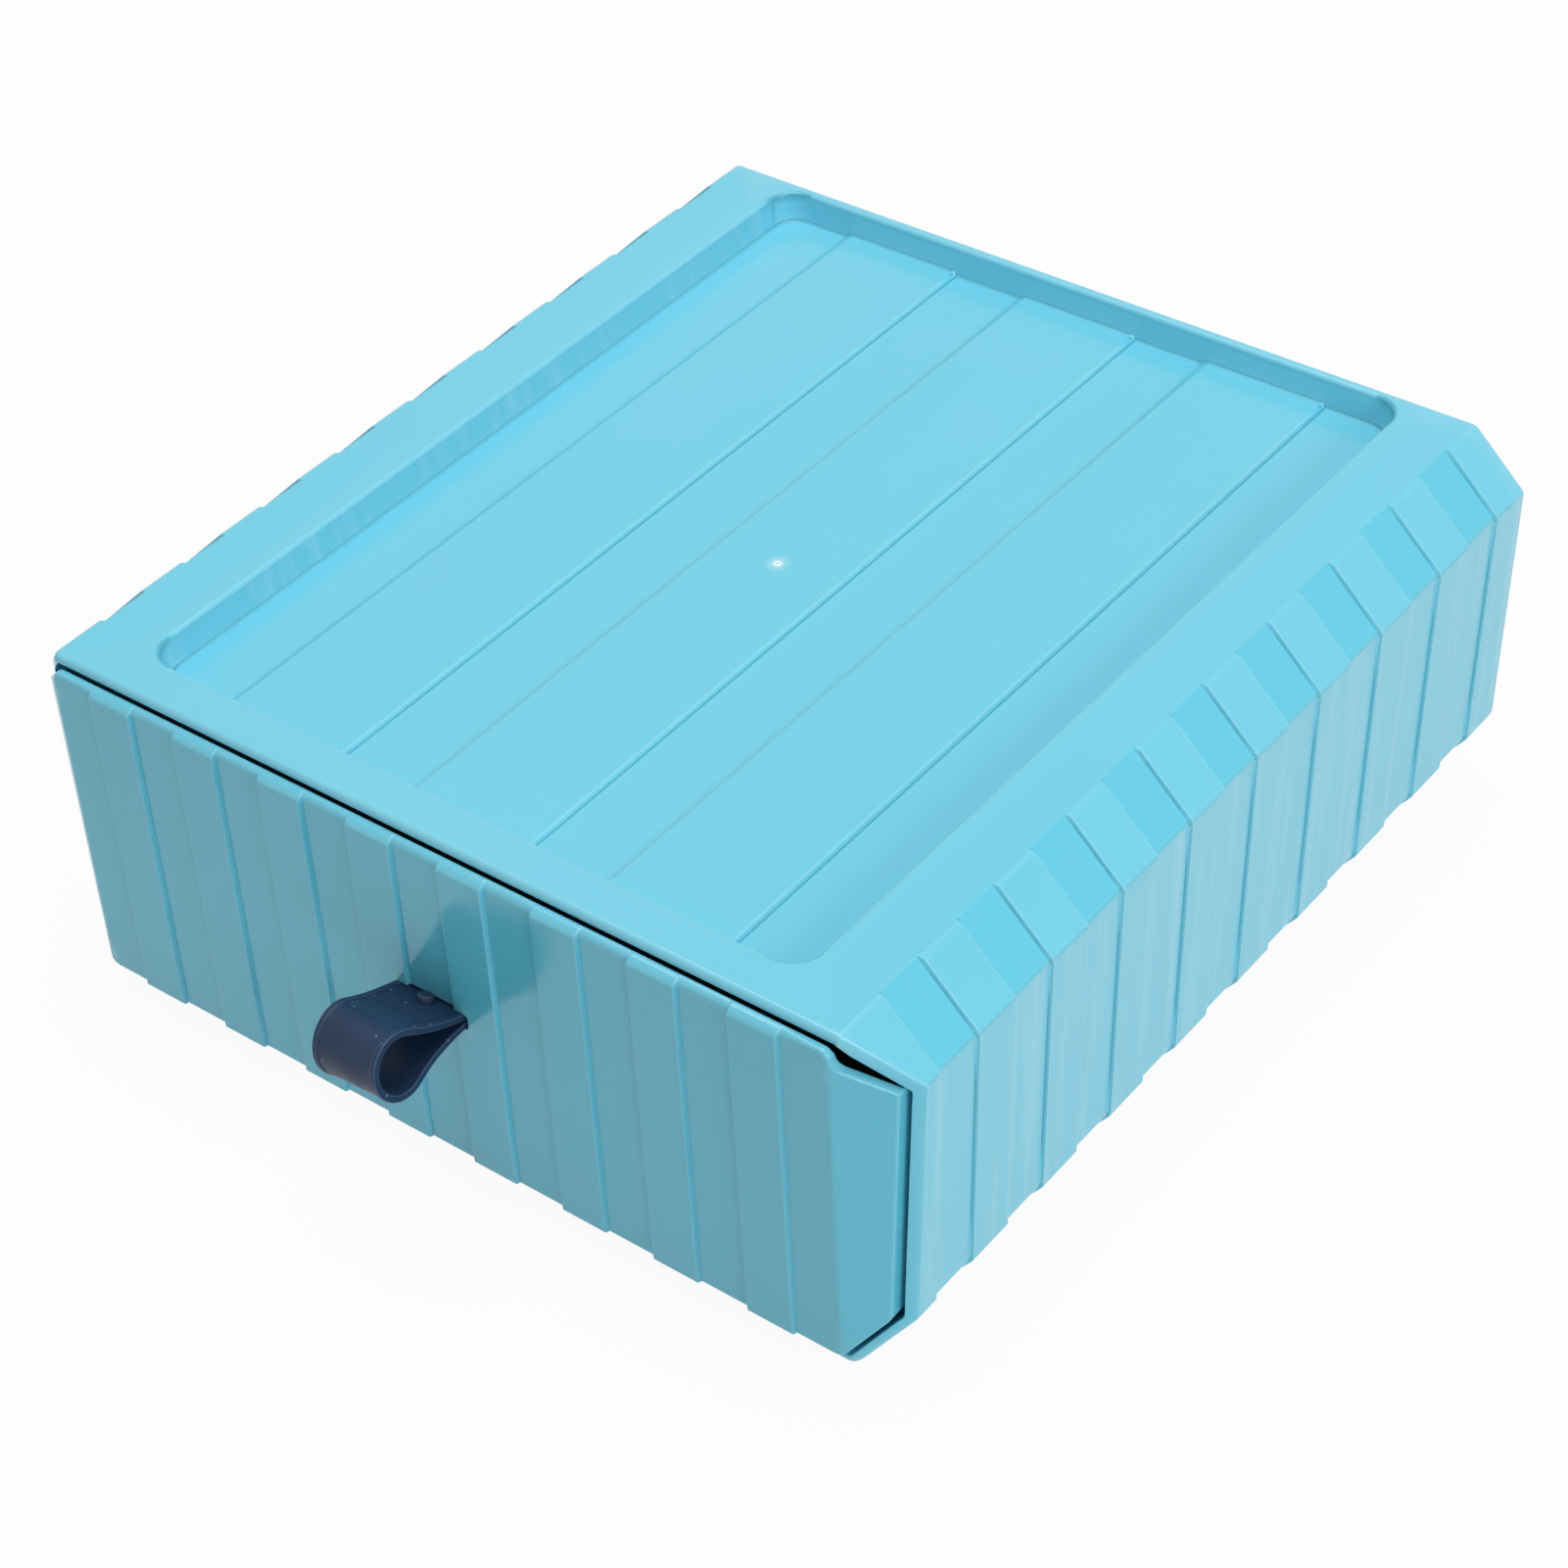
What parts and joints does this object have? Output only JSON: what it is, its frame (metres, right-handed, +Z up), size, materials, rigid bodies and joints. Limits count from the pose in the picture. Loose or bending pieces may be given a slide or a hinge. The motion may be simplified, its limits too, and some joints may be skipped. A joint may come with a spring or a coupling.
{
  "type": "stackable storage drawer",
  "caption": "Stackable moulded plastic drawer unit: a plank-patterned casing with a stacking tray on top, a pull-out drawer and a strap pull.",
  "frame": {"origin": "The middle of the whole unit's footprint, pull included, on the plane that the foot ring stands on.", "axes": "+X to the viewer's right as one faces the drawer's front, +Y from the front to the back along the drawer's slide, +Z up."},
  "size_m": [0.26, 0.2992, 0.107],
  "materials": {
    "casing_plastic": "semi-gloss injection-moulded polypropylene, turquoise",
    "drawer_plastic": "semi-gloss injection-moulded polypropylene, turquoise",
    "strap_silicone": "matt navy silicone rubber"
  },
  "bodies": {
    "casing_body": {"casing": "casing_plastic"},
    "drawer_body": {"drawer": "drawer_plastic", "pull_strap": "strap_silicone"}
  },
  "joints": [
    {"name": "drawer_slide", "type": "slide", "parent": "casing_body", "child": "drawer_body", "axis": [0, -1, 0], "range_m": [0, 0.2]}
  ]
}
